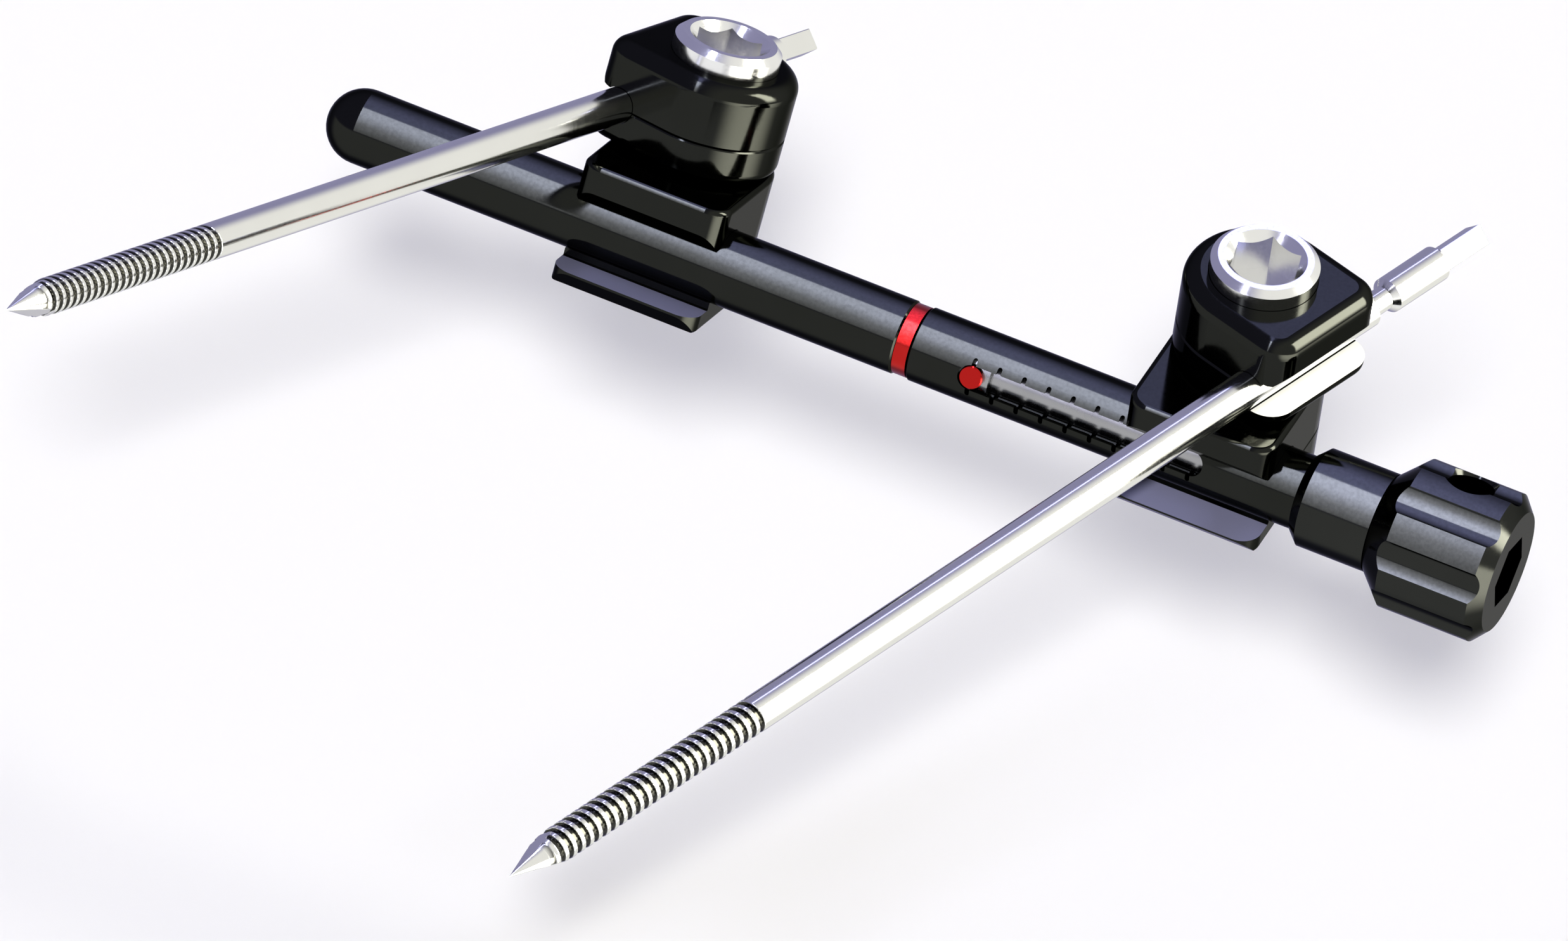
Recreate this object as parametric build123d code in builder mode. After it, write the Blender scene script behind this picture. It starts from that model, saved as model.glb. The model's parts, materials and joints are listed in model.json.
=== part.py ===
from build123d import *
from math import cos, radians, sin
import os

# External fixator: a two-part distraction rod along X, with two swivel clamps that each hold a bone pin.
# Origin: on the rod's axis, at the middle of the red ring. Z runs up the bolt of the first clamp.
# Lengths are in millimetres and angles in degrees.

# Distraction rod
rod_radius = 4.0
rod_half_length = 66.4
ring_width = 1.5
ring_radius = 3.85
ring_wall = 0.6
joint_gap = 0.05
edge_break = 0.25
running_gap = 0.08

# Drive shaft, spindle and thrust flange
shaft_radius = 2.5
spindle_radius = 1.6
spindle_length = 32.0
spindle_gap = 0.05
spindle_bore_spare = 2.0
flange_radius = 3.4
flange_width = 1.6
neck_radius = 2.0
neck_in_knob = 4.0

# Guide tongue of the domed half, and the keyways inside the tube
tongue_length = 31.0
tongue_half_angle = 30.0
keyway_radius = 3.3
keyway_gap_angle = 2.0
keyway_spare = 2.0

# Slot, scale and index
scale_start = 7.84
scale_pitch = 2.765
scale_marks = 10
slot_width = 2.72
slot_gap = 0.08
mark_width = 0.5
mark_reach = 0.75
index_stand = -0.15
index_break = 0.12
shoe_length = 3.6
shoe_half_angle = 36.0

# End housing and thrust washer
tube_end = 47.35
housing_radius = 5.35
housing_cover = 3.0
housing_past_tube = 5.65
housing_chamfer = 1.1
washer_thickness = 0.5

# Drive knob
knob_gap = 0.1
knob_length = 14.05
knob_radius = 8.1
knob_cone = 2.7
knob_end_radius = 6.55
knob_end_chamfer = 1.35
flute_count = 8
flute_radius = 2.6
flute_depth = 0.76
bar_hole_radius = 2.5
bar_hole_rim = 2.8
bar_hole_inset = 6.25
knob_socket_flats = 6.7
knob_socket_depth = 3.4
knob_socket_angle = 22.7

# Clamps: places on the rod, swivel about the rod and turn of the head about the bolt
clamp_a_x = -29.8
clamp_a_swivel_angle = 0.0
clamp_a_turn_angle = 166.4
clamp_b_x = 33.1
clamp_b_swivel_angle = 20.55
clamp_b_turn_angle = -18.1
jaw_half_width = 8.2
grip_gap = 0.06
bolt_radius = 3.0
bolt_gap = 0.06
parting_break = 0.2

# Jaws on the rod, with heights from the rod's axis and reaches from the bolt's axis
rod_offset = 9.2
rod_jaw_top = 7.1
rod_plate_bottom = 6.65
rod_split = 0.7
rod_jaw_reach = 13.7
rod_lip_reach = 14.6
rod_mouth_roof = 2.8
rod_lead_in = (1.1, 1.3)
rod_lip_drop = 4.7
rod_seat_past = 1.2
rod_jaw_corner = 2.3
rod_jaw_round = 0.6
rod_plate_round = 0.4
rod_nose_bevel = (1.6, 1.7)

# Jaws on the pin, with heights from the pin's axis and reaches from the bolt's axis
pin_offset = 6.25
pin_jaw_top = 6.6
pin_plate_bottom = 4.2
pin_split = 0.2
pin_jaw_reach = 9.8
pin_lip_reach = 9.9
pin_mouth_roof = 1.4
pin_lead_in = (1.0, 1.2)
pin_lip_drop = 2.6
pin_seat_past = 0.6
pin_jaw_corner = 3.0
pin_jaw_round = 1.7
pin_plate_round = 1.2

# Clamp bolt
bolt_head_radius = 5.7
bolt_head_stand = 2.3
bolt_head_sunk = 3.9
bolt_head_chamfer = 0.7
bolt_socket_rim = 4.3
bolt_socket_flats = 6.7
bolt_socket_depth = 4.5
bolt_end_short = 0.5
bolt_end_chamfer = 0.6

# Bone pins, with lengths from the tip or from the drive end
pin_radius = 1.92
pin_length = 148.3
pin_drive_reach = 27.7
pin_roll_angle = 45.0
point_length = 5.4
flute_tilt_angle = 14.1
flute_start = 0.05
flute_reach = 9.0
drive_length = 6.2
drive_square = 2.3
drive_chamfer = 0.5
snap_shoulder = 8.0
snap_groove = 3.3
snap_groove_radius = 1.28

# Values that follow from the ones above
ring_face = ring_width / 2
tube_face = ring_face + joint_gap
tube_bore = shaft_radius + running_gap
key_clear = keyway_radius - running_gap
spigot_radius = ring_radius - ring_wall
slot_run = scale_pitch * (scale_marks - 1)
flange_start = tube_end + joint_gap
washer_start = flange_start + flange_width + joint_gap
chamber_end = washer_start + washer_thickness
chamber_radius = flange_radius + running_gap
neck_bore = neck_radius + running_gap
housing_end = tube_end + housing_past_tube
knob_start = housing_end + knob_gap
knob_end = knob_start + knob_length
bar_hole_x = knob_end - bar_hole_inset
neck_end = knob_start + neck_in_knob
rod_axis = Axis.X
side = Plane.XZ


def plane_across(x):
    """Plane across the rod at x, with its own x along +Y and its own y along +Z."""
    return Plane(origin=(x, 0, 0), x_dir=(0, 1, 0), z_dir=(1, 0, 0))


def key_sector(inner, outer, half_angle, middle):
    """Ring sector for a plane across the rod, centred on the angle middle."""
    with BuildSketch() as sector:
        with BuildLine():
            low = middle - half_angle
            arc_out = CenterArc((0, 0), outer, low, 2 * half_angle)
            arc_in = CenterArc((0, 0), inner, low, 2 * half_angle)
            Line(arc_out @ 0, arc_in @ 0)
            Line(arc_out @ 1, arc_in @ 1)
        make_face()
    return sector.sketch


def finish(piece, name):
    """Names a piece and writes it."""
    piece.part.label = name
    export_step(piece.part, f"parts/{name}.step")


os.makedirs("parts", exist_ok=True)

# Domed half of the rod: threaded bore for the spindle, seat for the ring and guide tongue
with BuildPart() as rod_half:
    with BuildSketch(side):
        with BuildLine():
            dome_middle = rod_half_length - rod_radius
            bore_end = spindle_length + spindle_bore_spare
            dome = CenterArc((-dome_middle, 0), rod_radius, 90, 90)
            Polyline(
                dome @ 0,
                (-ring_face - edge_break, rod_radius),
                (-ring_face, rod_radius - edge_break),
                (-ring_face, spigot_radius),
                (ring_face, spigot_radius),
                (ring_face, spindle_radius + spindle_gap),
                (-bore_end, spindle_radius + spindle_gap),
                (-bore_end - spindle_radius, 0),
                dome @ 1,
            )
        make_face()
    revolve(axis=rod_axis)
    with BuildSketch(plane_across(ring_face)):
        add(key_sector(tube_bore, key_clear, tongue_half_angle, 0))
    extrude(amount=tongue_length)
finish(rod_half, "rod_half")

# Red ring on its seat at the joint
with BuildPart() as red_ring:
    with BuildSketch(plane_across(-ring_face)):
        Circle(ring_radius)
        Circle(spigot_radius, mode=Mode.SUBTRACT)
    extrude(amount=ring_width)
finish(red_ring, "red_ring")

# Slotted half of the rod: keyways front and back, slot and scale notches through the front wall
with BuildPart() as scale_tube:
    with BuildSketch(plane_across(tube_face)):
        Circle(rod_radius)
        Circle(tube_bore, mode=Mode.SUBTRACT)
    extrude(amount=tube_end - tube_face)
    joint_edges = scale_tube.edges().filter_by(GeomType.CIRCLE).group_by(Axis.X)[0]
    chamfer(joint_edges.sort_by(SortBy.RADIUS)[-1], edge_break)
    with BuildSketch(plane_across(tube_face)):
        add(key_sector(tube_bore - running_gap, keyway_radius, tongue_half_angle + keyway_gap_angle, 0))
    extrude(amount=tongue_length + keyway_spare, mode=Mode.SUBTRACT)
    with BuildSketch(plane_across(scale_start - shoe_length)):
        add(key_sector(tube_bore - running_gap, keyway_radius, shoe_half_angle + keyway_gap_angle, 180))
    extrude(amount=slot_run + 2 * shoe_length, mode=Mode.SUBTRACT)
    with BuildSketch(side):
        with Locations((scale_start + slot_run / 2, 0)):
            SlotCenterToCenter(slot_run, slot_width)
        with Locations((scale_start + slot_run / 2, 0)):
            with GridLocations(scale_pitch, 0, scale_marks, 1):
                SlotOverall(slot_width + 2 * mark_reach, mark_width, rotation=90)
    extrude(amount=rod_radius, mode=Mode.SUBTRACT)
finish(scale_tube, "scale_tube")

# Red index: button in the slot on a curved shoe that rides on the shaft
with BuildPart() as index_pin:
    with BuildSketch(plane_across(scale_start - shoe_length / 2)):
        add(key_sector(tube_bore, key_clear, shoe_half_angle, 180))
    extrude(amount=shoe_length)
    with BuildSketch(Plane.XZ.offset(tube_bore + running_gap)):
        with Locations((scale_start, 0)):
            Circle(slot_width / 2 - slot_gap)
    extrude(amount=rod_radius + index_stand - tube_bore - running_gap)
    chamfer(index_pin.faces().sort_by(Axis.Y)[0].edges(), index_break)
finish(index_pin, "index_pin")

# Drive shaft: spindle, plain shaft behind the slot, thrust flange and neck
with BuildPart() as drive_shaft:
    with BuildSketch(side):
        with BuildLine():
            shaft_start = tube_face + joint_gap
            Polyline(
                (-spindle_length, 0),
                (-spindle_length, spindle_radius - edge_break),
                (-spindle_length + edge_break, spindle_radius),
                (shaft_start, spindle_radius),
                (shaft_start, shaft_radius),
                (flange_start, shaft_radius),
                (flange_start, flange_radius),
                (flange_start + flange_width, flange_radius),
                (flange_start + flange_width, neck_radius),
                (neck_end, neck_radius),
                (neck_end, 0),
                close=True,
            )
        make_face()
    revolve(axis=rod_axis)
finish(drive_shaft, "drive_shaft")

# Thrust washer behind the flange
with BuildPart() as thrust_washer:
    with BuildSketch(plane_across(washer_start)):
        Circle(chamber_radius)
        Circle(neck_bore, mode=Mode.SUBTRACT)
    extrude(amount=washer_thickness)
finish(thrust_washer, "thrust_washer")

# End housing: collar on the tube, chamber for the flange and bore for the neck
with BuildPart() as end_housing:
    with BuildSketch(side):
        with BuildLine():
            housing_start = tube_end - housing_cover
            Polyline(
                (housing_start, rod_radius),
                (housing_start, housing_radius - housing_chamfer),
                (housing_start + housing_chamfer, housing_radius),
                (housing_end, housing_radius),
                (housing_end, neck_bore),
                (chamber_end, neck_bore),
                (chamber_end, chamber_radius),
                (tube_end, chamber_radius),
                (tube_end, rod_radius),
                close=True,
            )
        make_face()
    revolve(axis=rod_axis)
finish(end_housing, "end_housing")

# Drive knob: fluted body between two cones, hex socket in its end and a hole across for a bar
with BuildPart() as drive_knob:
    with BuildSketch(side):
        with BuildLine():
            Polyline(
                (knob_start, neck_radius),
                (knob_start, housing_radius),
                (knob_start + knob_cone, knob_radius),
                (knob_end - knob_end_chamfer, knob_radius),
                (knob_end, knob_end_radius),
                (knob_end, 0),
                (neck_end, 0),
                (neck_end, neck_radius),
                close=True,
            )
        make_face()
    revolve(axis=rod_axis)
    with BuildSketch(plane_across(knob_start)):
        with PolarLocations(knob_radius - flute_depth + flute_radius, flute_count):
            Circle(flute_radius)
    extrude(amount=knob_end - knob_start, mode=Mode.SUBTRACT)
    with BuildSketch(plane_across(knob_end)):
        RegularPolygon(knob_socket_flats / 2, 6, major_radius=False, rotation=30 - knob_socket_angle)
    extrude(amount=-knob_socket_depth, mode=Mode.SUBTRACT)
    with BuildSketch(Plane(origin=(bar_hole_x, 0, 0), x_dir=(1, 0, 0), z_dir=(0, -1, 0))):
        with BuildLine():
            rim_depth = bar_hole_rim - bar_hole_radius
            rim_height = knob_radius - flute_depth / 2
            rim_spread = bar_hole_rim + knob_radius - rim_height
            Polyline(
                (0, -knob_radius),
                (rim_spread, -knob_radius),
                (bar_hole_radius, rim_depth - rim_height),
                (bar_hole_radius, rim_height - rim_depth),
                (rim_spread, knob_radius),
                (0, knob_radius),
                close=True,
            )
        make_face()
    revolve(axis=Axis((bar_hole_x, 0, 0), (0, 0, 1)), mode=Mode.SUBTRACT)
finish(drive_knob, "drive_knob")

rod_grip = {
    "bar": rod_radius,
    "offset": rod_offset,
    "top": rod_jaw_top,
    "bottom": -rod_plate_bottom,
    "split": -rod_split,
    "reach": rod_jaw_reach,
    "lip_reach": rod_lip_reach,
    "roof": rod_mouth_roof,
    "lead_in": rod_lead_in,
    "lip_top": -rod_lip_drop,
    "seat_past": rod_seat_past,
    "corner": rod_jaw_corner,
    "jaw_round": rod_jaw_round,
    "plate_round": rod_plate_round,
    "nose_bevel": rod_nose_bevel,
    "bolt_seat": 0,
}
pin_grip = {
    "bar": pin_radius,
    "offset": pin_offset,
    "top": pin_jaw_top,
    "bottom": -pin_plate_bottom,
    "split": -pin_split,
    "reach": pin_jaw_reach,
    "lip_reach": pin_lip_reach,
    "roof": pin_mouth_roof,
    "lead_in": pin_lead_in,
    "lip_top": -pin_lip_drop,
    "seat_past": pin_seat_past,
    "corner": pin_jaw_corner,
    "jaw_round": pin_jaw_round,
    "plate_round": pin_plate_round,
    "nose_bevel": None,
    "bolt_seat": bolt_head_sunk,
}


def jaw_outline(reach, corner):
    """Jaw from above: round about the bolt, straight towards the bar, with rounded front corners."""
    with BuildSketch() as outline:
        Circle(jaw_half_width)
        with Locations((reach / 2, 0)):
            Rectangle(reach, 2 * jaw_half_width)
        fillet(outline.vertices().sort_by(Axis.X)[-2:], corner)
    return outline.sketch


def upper_jaw(at, grip):
    """Jaw over the bar. The plane's origin is on the bolt's axis at the bar's height, its x to the bar."""
    up = Axis(at.origin, at.z_dir)
    lead_out, lead_up = grip["lead_in"]
    far = grip["reach"] + lead_out
    with BuildPart() as jaw:
        with BuildSketch(at.offset(grip["split"])):
            add(jaw_outline(grip["reach"], grip["corner"]))
        extrude(amount=grip["top"] - grip["split"])
        fillet(jaw.faces().sort_by(up)[-1].edges(), grip["jaw_round"])
        chamfer(jaw.faces().sort_by(up)[0].edges(), parting_break)
        with BuildSketch(Plane(origin=at.origin, x_dir=at.x_dir, z_dir=-at.y_dir)):
            with Locations((grip["offset"], 0)):
                Circle(grip["bar"] + grip_gap)
            with BuildLine():
                Polyline(
                    (grip["offset"], grip["split"] - lead_up),
                    (far, grip["split"] - lead_up),
                    (far, grip["roof"] + 2 * lead_up),
                    (grip["reach"] - lead_out, grip["roof"]),
                    (grip["offset"], grip["roof"]),
                    close=True,
                )
            make_face()
        extrude(amount=2 * jaw_half_width, both=True, mode=Mode.SUBTRACT)
        with BuildSketch(at.offset(grip["split"])):
            Circle(bolt_radius + bolt_gap)
        extrude(amount=grip["top"] - grip["split"], mode=Mode.SUBTRACT)
        if grip["bolt_seat"]:
            with BuildSketch(at.offset(grip["top"])):
                Circle(bolt_head_radius + bolt_gap)
            extrude(amount=-grip["bolt_seat"], mode=Mode.SUBTRACT)
    return jaw


def lower_plate(at, grip):
    """Jaw under the bar, with the lip that reaches past it."""
    up = Axis(at.origin, at.z_dir)
    lip_start = grip["offset"] + grip["seat_past"]
    far = grip["lip_reach"] + grip["bar"]
    with BuildPart() as plate:
        with BuildSketch(at.offset(grip["bottom"])):
            add(jaw_outline(grip["lip_reach"], grip["corner"]))
        extrude(amount=grip["split"] - grip["bottom"])
        fillet(plate.faces().sort_by(up)[0].edges(), grip["plate_round"])
        chamfer(plate.faces().sort_by(up)[-1].edges(), parting_break)
        with BuildSketch(Plane(origin=at.origin, x_dir=at.x_dir, z_dir=-at.y_dir)):
            with Locations((grip["offset"], 0)):
                Circle(grip["bar"] + grip_gap)
            with BuildLine():
                Polyline(
                    (lip_start, grip["lip_top"]),
                    (far, grip["lip_top"]),
                    (far, grip["bar"]),
                    (lip_start, grip["bar"]),
                    close=True,
                )
            make_face()
            if grip["nose_bevel"]:
                bevel_back, bevel_rise = grip["nose_bevel"]
                with BuildLine():
                    Polyline(
                        (grip["lip_reach"] - bevel_back, grip["bottom"]),
                        (grip["lip_reach"], grip["bottom"] + bevel_rise),
                        (far, grip["bottom"] + bevel_rise),
                        (far, grip["bottom"]),
                        close=True,
                    )
                make_face()
        extrude(amount=2 * jaw_half_width, both=True, mode=Mode.SUBTRACT)
        with BuildSketch(at.offset(grip["bottom"])):
            Circle(bolt_radius + bolt_gap)
        extrude(amount=grip["split"] - grip["bottom"], mode=Mode.SUBTRACT)
    return plate


def clamp_bolt(at, top, length):
    """Socket-head bolt. The plane at has its origin on the bolt's axis, at the jaw's top face."""
    profile = Plane(origin=at.origin, x_dir=at.x_dir, z_dir=-at.y_dir)
    with BuildPart() as bolt:
        with BuildSketch(profile):
            with BuildLine():
                rim_depth = bolt_socket_rim - bolt_socket_flats / 2
                Polyline(
                    (0, bolt_head_stand - rim_depth),
                    (bolt_socket_flats / 2, bolt_head_stand - rim_depth),
                    (bolt_socket_rim, bolt_head_stand),
                    (bolt_head_radius - bolt_head_chamfer, bolt_head_stand),
                    (bolt_head_radius, bolt_head_stand - bolt_head_chamfer),
                    (bolt_head_radius, -bolt_head_sunk),
                    (bolt_radius, -bolt_head_sunk),
                    (bolt_radius, bolt_end_chamfer - length),
                    (bolt_radius - bolt_end_chamfer, -length),
                    (0, -length),
                    close=True,
                )
            make_face()
        revolve(axis=Axis(at.origin, at.z_dir))
        with BuildSketch(at.offset(top)):
            RegularPolygon(bolt_socket_flats / 2, 6, major_radius=False)
        extrude(amount=-bolt_socket_depth, mode=Mode.SUBTRACT)
    return bolt


def bone_pin(at):
    """Bone pin. The plane at has its origin on the pin's axis beside the bolt, z towards the drive end."""
    tip = pin_drive_reach - pin_length
    drive_start = pin_drive_reach - drive_length
    groove_end = drive_start - snap_shoulder
    groove_start = groove_end - snap_groove
    groove_depth = pin_radius - snap_groove_radius
    flat_middle = (groove_start + groove_end) / 2
    flat_half = snap_groove / 2 - groove_depth
    profile = Plane(origin=at.origin, x_dir=at.x_dir, z_dir=-at.y_dir)
    with BuildPart() as pin:
        with BuildSketch(profile):
            with BuildLine():
                Polyline(
                    (0, tip),
                    (pin_radius, tip + point_length),
                    (pin_radius, groove_start),
                    (snap_groove_radius, flat_middle - flat_half),
                    (snap_groove_radius, flat_middle + flat_half),
                    (pin_radius, groove_end),
                    (pin_radius, drive_start - drive_chamfer),
                    (pin_radius - drive_chamfer, drive_start),
                    (0, drive_start),
                    close=True,
                )
            make_face()
        revolve(axis=Axis(at.origin, at.z_dir))
        with BuildSketch(at.offset(drive_start)):
            Rectangle(drive_square, drive_square)
        extrude(amount=drive_length)
        chamfer(pin.faces().sort_by(Axis(at.origin, at.z_dir))[-1].edges(), drive_chamfer / 2)
        lean = radians(flute_tilt_angle)
        for facing in (1, -1):
            facet = Plane(
                origin=at.from_local_coords((facing * flute_start, 0, tip)),
                x_dir=at.z_dir * cos(lean) + at.x_dir * facing * sin(lean),
                z_dir=at.x_dir * facing * cos(lean) - at.z_dir * sin(lean),
            )
            with BuildSketch(facet):
                with Locations((flute_reach / 2, 0)):
                    Rectangle(flute_reach, 2 * pin_radius)
            extrude(amount=pin_radius, mode=Mode.SUBTRACT)
    return pin


def swivel_clamp(name, x, swivel, turn, drive_side):
    """One clamp with its bolt and pin, placed on the rod by its swivel and its head by its turn."""
    post_dir = Vector(0, -sin(radians(swivel)), cos(radians(swivel)))
    back_dir = Vector(0, cos(radians(swivel)), sin(radians(swivel)))
    post = Vector(x, 0, 0) + back_dir * rod_offset
    pin_height = rod_jaw_top + pin_plate_bottom
    head_dir = Vector(cos(radians(turn)), 0, 0) + back_dir * sin(radians(turn))
    base = Plane(origin=post, x_dir=-back_dir, z_dir=post_dir)
    head = Plane(origin=post + post_dir * pin_height, x_dir=head_dir, z_dir=post_dir)
    head_top = head.offset(pin_jaw_top)
    bolt_length = pin_jaw_top + pin_height + rod_plate_bottom - bolt_end_short
    pin_dir = head.y_dir * drive_side
    roll = radians(pin_roll_angle)
    pin_line = Plane(
        origin=head.from_local_coords((pin_offset, 0, 0)),
        x_dir=post_dir * cos(roll) + post_dir.cross(pin_dir) * sin(roll),
        z_dir=pin_dir,
    )
    finish(lower_plate(base, rod_grip), f"rod_plate_{name}")
    finish(upper_jaw(base, rod_grip), f"rod_jaw_{name}")
    finish(lower_plate(head, pin_grip), f"pin_plate_{name}")
    finish(upper_jaw(head, pin_grip), f"pin_jaw_{name}")
    finish(clamp_bolt(head_top, bolt_head_stand, bolt_length), f"clamp_bolt_{name}")
    finish(bone_pin(pin_line), f"bone_pin_{name}")


swivel_clamp("a", clamp_a_x, clamp_a_swivel_angle, clamp_a_turn_angle, -1)
swivel_clamp("b", clamp_b_x, clamp_b_swivel_angle, clamp_b_turn_angle, 1)
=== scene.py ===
import json
import math

import bpy
from mathutils import Matrix, Vector


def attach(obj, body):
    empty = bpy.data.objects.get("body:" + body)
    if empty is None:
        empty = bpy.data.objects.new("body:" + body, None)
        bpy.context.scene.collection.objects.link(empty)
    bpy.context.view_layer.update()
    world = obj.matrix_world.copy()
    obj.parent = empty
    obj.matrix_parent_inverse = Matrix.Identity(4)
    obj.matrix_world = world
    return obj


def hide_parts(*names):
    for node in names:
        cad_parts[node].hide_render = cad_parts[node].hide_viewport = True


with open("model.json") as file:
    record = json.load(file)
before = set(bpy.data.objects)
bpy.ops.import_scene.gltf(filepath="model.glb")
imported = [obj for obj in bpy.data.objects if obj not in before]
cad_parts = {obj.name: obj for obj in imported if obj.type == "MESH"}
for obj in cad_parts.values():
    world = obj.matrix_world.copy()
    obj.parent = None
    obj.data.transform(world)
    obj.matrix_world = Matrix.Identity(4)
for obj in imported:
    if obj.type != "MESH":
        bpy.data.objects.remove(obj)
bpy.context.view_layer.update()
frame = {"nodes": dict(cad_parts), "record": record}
nodes = frame["nodes"]
mm = 0.001
print("frame:", len(nodes), "nodes")


def toLinear(hexCode):
    parts = [int(hexCode[i:i + 2], 16) / 255 for i in (1, 3, 5)]
    return [p / 12.92 if p <= 0.04045 else ((p + 0.055) / 1.055) ** 2.4 for p in parts] + [1.0]


def addNode(tree, kind, settings=None, inputs=None):
    node = tree.nodes.new(kind)
    for key, value in (settings or {}).items():
        setattr(node, key, value)
    for key, value in (inputs or {}).items():
        if isinstance(value, bpy.types.NodeSocket):
            tree.links.new(value, node.inputs[key])
        else:
            node.inputs[key].default_value = value
    return node


def newMaterial(name):
    material = bpy.data.materials.new(name)
    material.use_nodes = True
    material.node_tree.nodes.clear()
    return material, material.node_tree


def perMm(size):  # noise scale whose features are about this many millimetres
    return 1 / (size * mm)


finishing = {
    "driftDetail": 3.0, "grainDetail": 2.0, "grainSpan": (0.3, 0.7),  # noise, and the span that counts
    "grooveShadeSpan": (0.05, 0.3),  # shares of the thread's depth over which the painted shade in the thread grooves comes in
    "padSpan": (0.96, 0.99),  # how squarely a face has to look along the pad's way
}


# surface of a machined or ground metal: a tone that drifts a little, a fine grain and a soft bump
def metalFinish(name, look):
    material, tree = newMaterial(name)
    place = addNode(tree, "ShaderNodeTexCoord").outputs["Object"]
    stretched = addNode(tree, "ShaderNodeMapping", None, {"Vector": place, "Scale": look["stretch"]}).outputs[0]
    drift = addNode(tree, "ShaderNodeTexNoise", None,
                    {"Vector": place, "Scale": perMm(look["driftMm"]),
                     "Detail": finishing["driftDetail"]}).outputs[0]
    grain = addNode(tree, "ShaderNodeTexNoise", None,
                    {"Vector": stretched, "Scale": perMm(look["grainMm"]),
                     "Detail": finishing["grainDetail"]}).outputs[0]
    tone = addNode(tree, "ShaderNodeMix", {"data_type": "RGBA"},
                   {"Factor": drift, "A": toLinear(look["tone"][0]),
                    "B": toLinear(look["tone"][1])}).outputs["Result"]
    rough = addNode(tree, "ShaderNodeMapRange", None,
                    {"Value": grain, "From Min": finishing["grainSpan"][0], "From Max": finishing["grainSpan"][1],
                     "To Min": look["rough"][0], "To Max": look["rough"][1]}).outputs[0]
    bump = addNode(tree, "ShaderNodeBump", None,
                   {"Height": grain, "Strength": look["bump"], "Distance": look["bumpMm"] * mm}).outputs[0]
    metallic = look["metallic"]
    if "groove" in look:  # painted shade in thread grooves: the mesh says how deep in the thread each point is, and the tone turns darker there
        deep = addNode(tree, "ShaderNodeAttribute", {"attribute_name": "groove"}).outputs["Fac"]
        deep = addNode(tree, "ShaderNodeMapRange", None,
                       {"Value": deep, "From Min": finishing["grooveShadeSpan"][0],
                        "From Max": finishing["grooveShadeSpan"][1]}).outputs[0]
        tone = addNode(tree, "ShaderNodeMix", {"data_type": "RGBA"},
                       {"Factor": deep, "A": tone, "B": toLinear(look["groove"])}).outputs["Result"]
    if "pad" in look:  # everything past one place, or only the flat faces there that look one way: the red button, or a painted reflection on the clamp lips
        pad = look["pad"]
        reach = addNode(tree, "ShaderNodeVectorMath", {"operation": "DOT_PRODUCT"},
                        {0: place, 1: pad["toward"]}).outputs["Value"]
        onPad = addNode(tree, "ShaderNodeMath", {"operation": "GREATER_THAN"},
                        {0: reach, 1: pad["past"] * mm}).outputs[0]
        if "facing" in pad:
            facing = addNode(tree, "ShaderNodeTexCoord").outputs["Normal"]
            facing = addNode(tree, "ShaderNodeVectorMath", {"operation": "DOT_PRODUCT"},
                             {0: facing, 1: pad["facing"]}).outputs["Value"]
            facing = addNode(tree, "ShaderNodeMapRange", None,
                             {"Value": facing, "From Min": finishing["padSpan"][0],
                              "From Max": finishing["padSpan"][1]}).outputs[0]
            onPad = addNode(tree, "ShaderNodeMath", {"operation": "MULTIPLY"}, {0: onPad, 1: facing}).outputs[0]
        tone = addNode(tree, "ShaderNodeMix", {"data_type": "RGBA"},
                       {"Factor": onPad, "A": tone, "B": toLinear(pad["tone"])}).outputs["Result"]
        rough = addNode(tree, "ShaderNodeMix", None,
                        {"Factor": onPad, "A": rough, "B": pad["rough"]}).outputs["Result"]
        if pad["metallic"] != metallic:  # else it stays a plain number on the shader
            metallic = addNode(tree, "ShaderNodeMapRange", None,
                               {"Value": onPad, "To Min": metallic, "To Max": pad["metallic"]}).outputs[0]
    shader = addNode(tree, "ShaderNodeBsdfPrincipled", None,
                     {"Base Color": tone, "Roughness": rough, "Normal": bump,
                      "Metallic": metallic, **look.get("sockets", {})})
    addNode(tree, "ShaderNodeOutputMaterial", None, {"Surface": shader.outputs[0]})
    return material


# hard black anodised aluminium, polished: a dark mirror that takes the lamps as clean bright bands
black = {
    "tone": ("#242522", "#292a28"), "rough": (0.08, 0.12), "metallic": 1.0,
    "driftMm": 9.0, "grainMm": 0.35,  # real grain is near 0.05 mm, drawn coarser so that it shows
    "stretch": (1, 1, 1), "bump": 0.015, "bumpMm": 0.01,
    "sockets": {"Specular Tint": toLinear("#b4b4b4")},  # dyed oxide: the edges stay dark
}
blackAnodised = metalFinish("blackAnodised", black)
# a lighter copy of the same black on the knob and its housing: painted sheen, so that the reflected bands stand
# out brighter
blackPaintedSheen = metalFinish("blackPaintedSheen", {**black, "tone": ("#2b2c2a", "#313230")})
# red anodised aluminium: bright clear red with a sharp sheen
redAnodised = metalFinish("redAnodised", {
    "tone": ("#b01f1d", "#bc2725"), "rough": (0.14, 0.2), "metallic": 1.0,
    "driftMm": 2.0, "grainMm": 0.25, "stretch": (1, 1, 1), "bump": 0.02, "bumpMm": 0.01,
})
# stainless steel bar, centreless ground and polished: near white, with painted shade in the thread grooves between
# bright crests
polishedSteel = metalFinish("polishedSteel", {
    "tone": ("#e4e4e2", "#ebebe9"), "rough": (0.12, 0.17), "metallic": 1.0, "groove": "#3a3a36",
    "driftMm": 6.0, "grainMm": 0.5, "stretch": (0.25, 0.25, 2.5), "bump": 0.01, "bumpMm": 0.01,
})
# the same steel turned and polished, for the bolts
turnedSteel = metalFinish("turnedSteel", {
    "tone": ("#e4e4e4", "#efefef"), "rough": (0.14, 0.2), "metallic": 1.0,
    "driftMm": 4.0, "grainMm": 0.3, "stretch": (1, 1, 1), "bump": 0.01, "bumpMm": 0.01,
})
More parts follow.
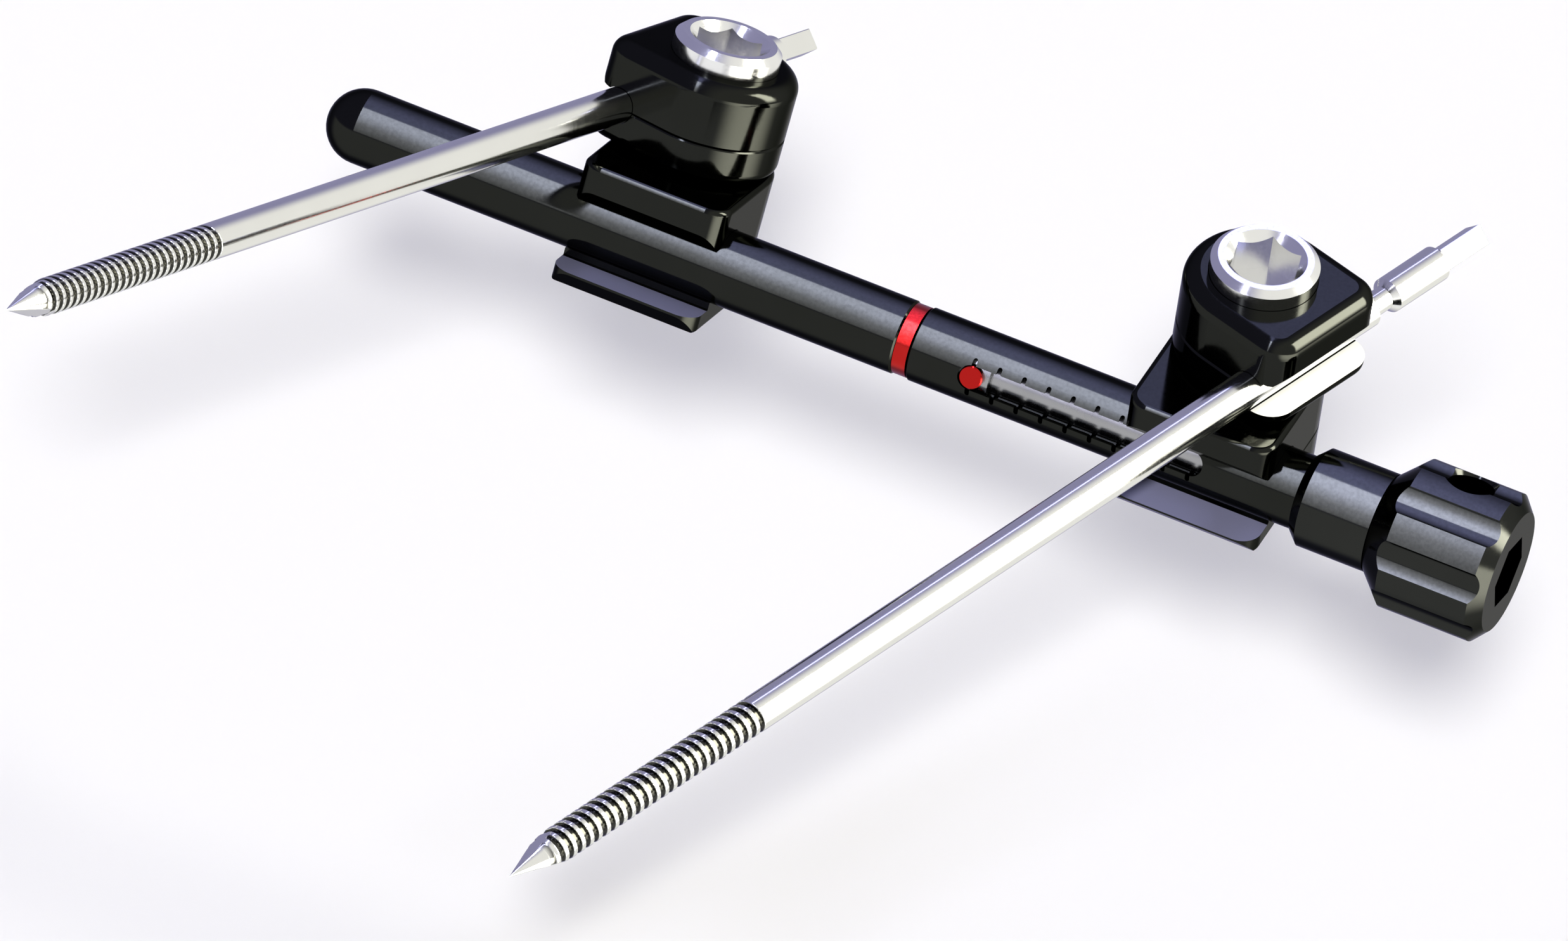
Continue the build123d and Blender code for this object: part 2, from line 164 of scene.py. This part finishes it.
# ground steel shaft behind the slot: a softer grey sheen than the pins
ground = {
    "tone": ("#9a9a9c", "#a8a8aa"), "rough": (0.24, 0.28), "metallic": 1.0,
    "driftMm": 5.0, "grainMm": 0.3, "stretch": (2.5, 0.3, 0.3), "bump": 0.01, "bumpMm": 0.01,
}
# the spindle's thread grooves get painted shade, darker than the shaft's grey
groundSteel = metalFinish("groundSteel", {**ground, "groove": "#2e2e2c"})
# the index: the same red on the button alone, over a shoe of the shaft's grey
button = {"toward": (0, -1, 0), "past": 3.25, "tone": "#b01f1d", "rough": 0.17, "metallic": 1.0}
redButton = metalFinish("redButton", {**ground, "pad": button})
# plain bearing bronze, hidden behind the flange
bearingBronze = metalFinish("bearingBronze", {
    "tone": ("#a5824c", "#b18d55"), "rough": (0.35, 0.45), "metallic": 1.0,
    "driftMm": 3.0, "grainMm": 0.3, "stretch": (1, 1, 1), "bump": 0.05, "bumpMm": 0.01,
})
finishes = {
    "black_anodised": blackAnodised,
    "red_anodised": redAnodised,
    "polished_steel": turnedSteel,
    "shaft_steel": groundSteel,
    "bearing_bronze": bearingBronze,
}
slotOf = {row["node"]: row["material_slot"] for row in frame["record"]["subparts"]}
for nodeName, piece in nodes.items():
    piece.data.materials.clear()
    piece.data.materials.append(finishes[slotOf[nodeName]])
nodes["index_pin"].data.materials[0] = redButton
# the knob and its housing take the lighter copy of the black, a painted sheen
for nodeName in ("drive_knob", "end_housing"):
    nodes[nodeName].data.materials[0] = blackPaintedSheen
print("materials:", len(finishes) + 2)

# bone pin, in millimetres from its tip
bonePin = {
    "radius": 1.92, "length": 148.3, "point": 5.4,
    "facetStart": 0.05, "facetTilt": 14.1,
    "threadFrom": 4.2, "threadTo": 36.6, "pitch": 1.25, "depth": 0.34,
    "crest": 0.38, "root": 0.42, "runIn": 2.0, "runOut": 0.2,  # shares of the pitch
    "driveLength": 6.2, "driveSquare": 2.3, "driveBreak": 0.25, "shoulderBreak": 0.5,
    "shoulder": 8.0, "groove": 3.3, "grooveRadius": 1.28,
    "around": 72, "stepsPerPitch": 24,
    "tipRings": (0.0, 0.02, 0.4, 1.0, 2.0, 3.0, 4.0), "afterThread": 0.2, "shankRings": (60, 90, 120),
    "nick": 2e-6,  # between two rings at a sharp step
}
plainPin = {**bonePin, "depth": 0.0}


def grooveShare(phase, p):  # 0 on the crest of a thread, 1 on its root
    fromRoot = abs(phase - 0.5) * 2
    return min(1.0, max(0.0, (1 - p["crest"] - fromRoot) / (1 - p["crest"] - p["root"])))


def threadCut(along, turn, p):  # depth of the thread groove at a place on the pin
    if not p["threadFrom"] < along < p["threadTo"] + p["pitch"]:
        return 0.0
    phase = (along / p["pitch"] - turn / (2 * math.pi)) % 1.0
    runIn = min(1.0, (along - p["threadFrom"]) / (p["runIn"] * p["pitch"]))
    helixEnd = p["threadTo"] + p["pitch"] * (turn / (2 * math.pi) - 0.5)
    runOut = min(1.0, max(0.0, (helixEnd - along) / (p["runOut"] * p["pitch"]) + 0.5))
    return p["depth"] * grooveShare(phase, p) * runIn * runOut


def pinRadius(along, turn, p):
    driveStart = p["length"] - p["driveLength"]
    grooveEnd = driveStart - p["shoulder"]
    grooveStart = grooveEnd - p["groove"]
    if along > driveStart + p["nick"] / 2:
        half = p["driveSquare"] / 2 - max(0.0, along - (p["length"] - p["driveBreak"]))
        return half / max(abs(math.cos(turn)), abs(math.sin(turn)))
    radius = min(p["radius"], p["radius"] * along / p["point"])
    radius -= threadCut(along, turn, p) * min(1.0, along / p["point"])
    facet = p["facetStart"] + along * math.tan(math.radians(p["facetTilt"]))
    radius = min(radius, facet / max(abs(math.cos(turn)), 1e-6))
    if grooveStart < along < grooveEnd:
        wall = min(along - grooveStart, grooveEnd - along)
        radius = max(p["grooveRadius"], p["radius"] - wall)
    if along > driveStart - p["shoulderBreak"]:
        radius = min(radius, p["radius"] - (along - (driveStart - p["shoulderBreak"])))
    return radius


def pinStations(p):
    driveStart = p["length"] - p["driveLength"]
    grooveEnd = driveStart - p["shoulder"]
    grooveStart = grooveEnd - p["groove"]
    dip = p["radius"] - p["grooveRadius"]
    step = p["pitch"] / p["stepsPerPitch"]
    count = int((p["threadTo"] + p["pitch"] - p["threadFrom"]) / step) + 1
    places = list(p["tipRings"])
    places += [p["threadFrom"] + i * step for i in range(count)]
    places += [places[-1] + p["afterThread"], *p["shankRings"]]
    places += [grooveStart, grooveStart + dip, grooveEnd - dip, grooveEnd]
    places += [driveStart - p["shoulderBreak"], driveStart, driveStart + p["nick"]]
    places += [p["length"] - p["driveBreak"], p["length"], p["length"]]
    return places


sharpFrom = math.radians(35)  # edges bent further than this stay crisp


# a turned bar along its own z: a closing point, rings of points and a closing point again
def turnedBar(name, places, around, shape, material):
    verts, groove = [(0, 0, places[0] * mm)], [0.0]
    for along in places[1:-1]:
        for k in range(around):
            turn = 2 * math.pi * (k + 0.5) / around
            radius, deep = shape(along, turn)
            verts.append((radius * math.cos(turn) * mm, radius * math.sin(turn) * mm, along * mm))
            groove.append(deep)
    verts.append((0, 0, places[-1] * mm))
    groove.append(0.0)
    rings, last = len(places) - 2, len(verts) - 1
    faces = []
    for k in range(around):
        after = (k + 1) % around
        faces.append((0, 1 + after, 1 + k))
        for i in range(rings - 1):
            low, high = 1 + i * around, 1 + (i + 1) * around
            faces.append((low + k, low + after, high + after, high + k))
        top = 1 + (rings - 1) * around
        faces.append((top + k, top + after, last))
    mesh = bpy.data.meshes.new(name)
    mesh.from_pydata(verts, [], faces)
    mesh.attributes.new("groove", "FLOAT", "POINT").data.foreach_set("value", groove)
    mesh.shade_smooth()
    mesh.set_sharp_from_angle(angle=sharpFrom)
    mesh.materials.append(material)
    piece = bpy.data.objects.new(name, mesh)
    bpy.context.scene.collection.objects.link(piece)
    return piece


def pinShape(along, turn):  # radius, and share of the thread's depth
    radius = pinRadius(along, turn, bonePin)
    return radius, (pinRadius(along, turn, plainPin) - radius) / bonePin["depth"]


# places of the two clamps on the rod, as the solids have them
clamps = {
    "a": {"x": -29.8, "swivel": 0.0, "turn": 166.4, "side": -1},
    "b": {"x": 33.1, "swivel": 20.55, "turn": -18.1, "side": 1},
}
# painted reflection on the top grip faces of the lips, rougher and less metallic than the black: pale lavender
# under the rod, near white under the pin
rodLipReflection = {"tone": "#70718c", "rough": 0.45, "metallic": 0.2}
pinLipReflection = {"tone": "#e9e9e5", "rough": 0.35, "metallic": 0.3}
clampSet = {
    "rodToBolt": 9.2, "pinHeight": 11.3, "pinOffset": 6.25, "driveReach": 27.7, "pinRoll": 45.0,
    "rodPadFrom": 1.5, "pinPadFrom": 0.8,  # where the painted reflection on the lips starts: in front of the rod's axis, and past the pin's
}
pinRoll = math.radians(clampSet["pinRoll"])
for which, c in clamps.items():
    swivel, turn = math.radians(c["swivel"]), math.radians(c["turn"])
    post = Vector((0, -math.sin(swivel), math.cos(swivel)))
    back = Vector((0, math.cos(swivel), math.sin(swivel)))
    headX = Vector((math.cos(turn), 0, 0)) + back * math.sin(turn)
    along = post.cross(headX) * c["side"]
    bolt = Vector((c["x"], 0, 0)) + back * clampSet["rodToBolt"]
    foot = bolt + post * clampSet["pinHeight"] + headX * clampSet["pinOffset"]
    tip = (foot + along * (clampSet["driveReach"] - bonePin["length"])) * mm
    facing = post * math.cos(pinRoll) + post.cross(along) * math.sin(pinRoll)
    across = along.cross(facing)
    pin = turnedBar("threaded_pin_" + which, pinStations(bonePin), bonePin["around"], pinShape, polishedSteel)
    pin.matrix_world = Matrix((
        (facing.x, across.x, along.x, tip.x),
        (facing.y, across.y, along.y, tip.y),
        (facing.z, across.z, along.z, tip.z),
        (0, 0, 0, 1),
    ))
    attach(pin, "pin_" + which)
    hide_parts("bone_pin_" + which)
    pinPadFrom = bolt.dot(headX) + clampSet["pinOffset"] + clampSet["pinPadFrom"]
    lips = {
        "rod_plate_": {"toward": -back, "past": clampSet["rodPadFrom"], **rodLipReflection},
        "pin_plate_": {"toward": headX, "past": pinPadFrom, **pinLipReflection},
    }
    # each plate's black, with the painted reflection on its lips' top faces
    for plate, pad in lips.items():
        plateWithLipReflection = metalFinish(plate + which + "_black_with_lip_reflection", {**black, "pad": {**pad, "facing": post}})
        nodes[plate + which].data.materials[0] = plateWithLipReflection
print("pins:", len(clamps))

# drive shaft along x, in millimetres: a spindle with a four-start thread, then the plain shaft, flange and neck
driveShaft = {
    "from": -32.0, "break": 0.25, "threadTo": 0.6, "to": 57.1,
    "steps": ((-32.0, 1.6), (0.85, 2.5), (47.4, 3.4), (49.0, 2.0)),  # where each radius starts
    "lead": 2.765, "starts": 4, "depth": 0.2, "crest": 0.36, "root": 0.34,
    "around": 48, "stepMm": 0.058, "nick": 1e-5,
}


def shaftShape(along, turn):  # radius, and share of the thread's depth
    s = driveShaft
    radius = [r for start, r in s["steps"] if along >= start][-1]
    if along > s["threadTo"]:
        return radius, 0.0
    phase = (along / s["lead"] - turn / (2 * math.pi)) * s["starts"] % 1.0
    deep = grooveShare(phase, s)
    return min(radius - s["depth"] * deep, radius - s["break"] + along - s["from"]), deep


threadStart = driveShaft["from"] + driveShaft["break"]
count = int((driveShaft["threadTo"] - driveShaft["from"] - driveShaft["break"]) / driveShaft["stepMm"])
places = [driveShaft["from"], driveShaft["from"]]
places += [threadStart + i * driveShaft["stepMm"] for i in range(count)]
for stepAt, stepRadius in driveShaft["steps"][1:]:
    places += [stepAt - driveShaft["nick"], stepAt]
places += [driveShaft["to"], driveShaft["to"]]
shaft = turnedBar("threaded_shaft", places, driveShaft["around"], shaftShape, groundSteel)
shaft.matrix_world = Matrix(((0, 0, 1, 0), (1, 0, 0, 0), (0, 1, 0, 0), (0, 0, 0, 1)))
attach(shaft, "drive")
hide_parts("drive_shaft")
print("drive shaft:", len(places), "rings")

# pale floor, below the lowest place that a pin reaches when its clamp swivels
floorLook = {"height": -0.082, "half": 9.0, "tone": "#e5e5e5"}
half, level = floorLook["half"], floorLook["height"]
floorMesh = bpy.data.meshes.new("floor")
floorMesh.from_pydata([(-half, -half, level), (half, -half, level), (half, half, level), (-half, half, level)],
                      [], [(0, 1, 2, 3)])
floor = bpy.data.objects.new("floor", floorMesh)
bpy.context.scene.collection.objects.link(floor)
floor.visible_glossy = False  # the metal mirrors the room's low light instead
# matt white paper, which keeps the shadow
whitePaper, tree = newMaterial("whitePaper")
paper = addNode(tree, "ShaderNodeBsdfDiffuse", None, {"Color": toLinear(floorLook["tone"])}).outputs[0]
addNode(tree, "ShaderNodeOutputMaterial", None, {"Surface": paper})
floorMesh.materials.append(whitePaper)

# key lamp a little above the camera, for the light on the paper and the shadow under the object
keyLamp = {"from": (0.52, -2.14, 1.0), "angle": 3.5, "strength": 4.3, "tint": "#fffdf8"}
lamp = bpy.data.lights.new("keyLamp", "SUN")
lamp.angle = math.radians(keyLamp["angle"])
lamp.energy = keyLamp["strength"]
lamp.color = toLinear(keyLamp["tint"])[:3]
sun = bpy.data.objects.new("keyLamp", lamp)
bpy.context.scene.collection.objects.link(sun)
sun.rotation_euler = Vector(keyLamp["from"]).to_track_quat("Z", "Y").to_euler()
sun.visible_glossy = False  # the room makes the reflections

# room: lavender wall on the left, white on the right, white below the horizon in front
room = {
    "left": "#918fb0", "right": "#f9f8f2", "leftX": -0.25, "rightX": 0.35,
    "low": "#ffffff", "lowFront": (0.2, -0.2), "lowFade": (0.0, -0.08),
    "seen": 1.0, "fill": 0.28,  # strength as the metal shows it, and as it lights the floor
}
# narrow strip light that arches over the object from back to front, for the long bands on the rod
stripLamp = {
    "x": -0.23, "half": (0.018, 0.038), "strength": 52.0,
    "cloth": ((40, "#000000"), (80, "#444560"), (102, "#484a64"), (105, "#a0a2b8"), (125, "#a0a2b8"),
              (155, "#686870"), (180, "#404040")),  # degrees up from the back horizon
}
# tall softbox on the right for the rounds of the clamp heads, and a wide soft light under it for their sides
softbox = {
    "turn": 14.0, "half": (0.09, 0.2), "rise": (0.05, 0.4), "top": (0.8, 0.86),
    "strength": 26.0, "fill": 0.31, "tint": "#fffbea",
}
lowLight = {"turn": -14.0, "edge": (0.62, 0.95), "strength": 8.5}
world = bpy.data.worlds.new("studio")
bpy.context.scene.world = world
world.use_nodes = True
tree = world.node_tree
tree.nodes.clear()
direction = addNode(tree, "ShaderNodeTexCoord").outputs["Generated"]
parts = addNode(tree, "ShaderNodeSeparateXYZ", None, {0: direction}).outputs
smooth = {"interpolation_type": "SMOOTHSTEP"}
side = addNode(tree, "ShaderNodeMapRange", smooth,
               {"Value": parts["X"], "From Min": room["leftX"], "From Max": room["rightX"]}).outputs[0]
walls = addNode(tree, "ShaderNodeMix", {"data_type": "RGBA"},
                {"Factor": side, "A": toLinear(room["left"]), "B": toLinear(room["right"])}).outputs["Result"]
below = addNode(tree, "ShaderNodeMapRange", smooth,
                {"Value": parts["Z"], "From Min": room["lowFade"][0], "From Max": room["lowFade"][1]}).outputs[0]
front = addNode(tree, "ShaderNodeMapRange", smooth,
                {"Value": parts["Y"], "From Min": room["lowFront"][0], "From Max": room["lowFront"][1]}).outputs[0]
front = addNode(tree, "ShaderNodeMath", {"operation": "MULTIPLY"}, {0: front, 1: below}).outputs[0]
walls = addNode(tree, "ShaderNodeMix", {"data_type": "RGBA"},
                {"Factor": front, "A": walls, "B": toLinear(room["low"])}).outputs["Result"]
path = addNode(tree, "ShaderNodeLightPath").outputs
seen = addNode(tree, "ShaderNodeMath", {"operation": "MAXIMUM"},
               {0: path["Is Camera Ray"], 1: path["Is Glossy Ray"]}).outputs[0]
seen = addNode(tree, "ShaderNodeMath", {"operation": "MAXIMUM"},
               {0: seen, 1: path["Is Transmission Ray"]}).outputs[0]
wallStrength = addNode(tree, "ShaderNodeMapRange", None,
                       {"Value": seen, "To Min": room["fill"], "To Max": room["seen"]}).outputs[0]
wallLight = addNode(tree, "ShaderNodeBackground", None, {"Color": walls, "Strength": wallStrength}).outputs[0]

turn = addNode(tree, "ShaderNodeMath", {"operation": "ARCTAN2"}, {0: parts["Z"], 1: parts["Y"]}).outputs[0]
turn = addNode(tree, "ShaderNodeMath", {"operation": "DIVIDE"}, {0: turn, 1: math.pi}).outputs[0]
cloth = addNode(tree, "ShaderNodeValToRGB", None, {"Fac": turn})
stops = cloth.color_ramp.elements
while len(stops) < len(stripLamp["cloth"]):
    stops.new(0.5)
for stop, (angle, tone) in zip(stops, stripLamp["cloth"]):
    stop.position, stop.color = angle / 180, toLinear(tone)
offX = addNode(tree, "ShaderNodeMath", {"operation": "SUBTRACT"}, {0: parts["X"], 1: stripLamp["x"]}).outputs[0]
offX = addNode(tree, "ShaderNodeMath", {"operation": "ABSOLUTE"}, {0: offX}).outputs[0]
stripEdge = addNode(tree, "ShaderNodeMapRange", smooth,
                    {"Value": offX, "From Min": stripLamp["half"][0], "From Max": stripLamp["half"][1],
                     "To Min": stripLamp["strength"], "To Max": 0.0}).outputs[0]
stripLight = addNode(tree, "ShaderNodeBackground", None,
                     {"Color": cloth.outputs[0], "Strength": stripEdge}).outputs[0]

boxTurn = math.radians(softbox["turn"])
aside = addNode(tree, "ShaderNodeVectorMath", {"operation": "DOT_PRODUCT"},
                {0: direction, 1: (-math.sin(boxTurn), math.cos(boxTurn), 0)}).outputs["Value"]
aside = addNode(tree, "ShaderNodeMath", {"operation": "ABSOLUTE"}, {0: aside}).outputs[0]
boxSide = addNode(tree, "ShaderNodeMapRange", smooth,
                  {"Value": aside, "From Min": softbox["half"][0], "From Max": softbox["half"][1],
                   "To Min": 1.0, "To Max": 0.0}).outputs[0]
boxRise = addNode(tree, "ShaderNodeMapRange", smooth,
                  {"Value": parts["Z"], "From Min": softbox["rise"][0], "From Max": softbox["rise"][1],
                   "To Min": 0.0, "To Max": softbox["strength"]}).outputs[0]
boxTop = addNode(tree, "ShaderNodeMapRange", smooth,
                 {"Value": parts["Z"], "From Min": softbox["top"][0], "From Max": softbox["top"][1],
                  "To Min": 1.0, "To Max": 0.0}).outputs[0]
onRight = addNode(tree, "ShaderNodeMath", {"operation": "GREATER_THAN"}, {0: parts["X"], 1: 0.0}).outputs[0]
boxShare = addNode(tree, "ShaderNodeMapRange", None,
                   {"Value": seen, "To Min": softbox["fill"], "To Max": 1.0}).outputs[0]
boxEdge = boxSide
for factor in (boxRise, boxTop, onRight, boxShare):
    boxEdge = addNode(tree, "ShaderNodeMath", {"operation": "MULTIPLY"}, {0: boxEdge, 1: factor}).outputs[0]
lowTurn = math.radians(lowLight["turn"])
lowSide = addNode(tree, "ShaderNodeVectorMath", {"operation": "DOT_PRODUCT"},
                  {0: direction, 1: (math.cos(lowTurn), math.sin(lowTurn), 0)}).outputs["Value"]
lowSide = addNode(tree, "ShaderNodeMapRange", smooth,
                  {"Value": lowSide, "From Min": lowLight["edge"][0], "From Max": lowLight["edge"][1],
                   "To Min": 0.0, "To Max": lowLight["strength"]}).outputs[0]
lowEdge = addNode(tree, "ShaderNodeMath", {"operation": "MULTIPLY"}, {0: lowSide, 1: below}).outputs[0]
boxEdge = addNode(tree, "ShaderNodeMath", {"operation": "ADD"}, {0: boxEdge, 1: lowEdge}).outputs[0]
boxLight = addNode(tree, "ShaderNodeBackground", None,
                   {"Color": toLinear(softbox["tint"]), "Strength": boxEdge}).outputs[0]
roomLight = addNode(tree, "ShaderNodeAddShader", None, {0: wallLight, 1: stripLight}).outputs[0]
roomLight = addNode(tree, "ShaderNodeAddShader", None, {0: roomLight, 1: boxLight}).outputs[0]
addNode(tree, "ShaderNodeOutputWorld", None, {"Surface": roomLight})
print("studio: key lamp, strip, softbox and low light")

# long lens at the photograph's angle, rolled so that the rod runs down to the right
cameraSet = {
    "right": (0.90606, 0.34003, 0.25187), "up": (-0.35371, 0.2819, 0.89186),
    "back": (0.23226, -0.8972, 0.37569),
    "shiftRightMm": -13.28, "shiftUpMm": -13.34, "planeMm": 22.0, "widthMm": 160.23,
    "lens": 900.0, "sensor": 36.0, "farM": 30.0,
}
right, up, back = (Vector(cameraSet[k]) for k in ("right", "up", "back"))
distance = cameraSet["widthMm"] * cameraSet["lens"] / cameraSet["sensor"] + cameraSet["planeMm"]
stand = (right * cameraSet["shiftRightMm"] + up * cameraSet["shiftUpMm"] + back * distance) * mm
cameraData = bpy.data.cameras.new("camera")
cameraData.lens = cameraSet["lens"]
cameraData.sensor_width = cameraSet["sensor"]
cameraData.clip_end = cameraSet["farM"]
camera = bpy.data.objects.new("camera", cameraData)
bpy.context.scene.collection.objects.link(camera)
camera.matrix_world = Matrix((
    (right.x, up.x, back.x, stand.x),
    (right.y, up.y, back.y, stand.y),
    (right.z, up.z, back.z, stand.z),
    (0, 0, 0, 1),
))
bpy.context.scene.camera = camera
bpy.context.scene.view_settings.view_transform = "Standard"
print("camera set")
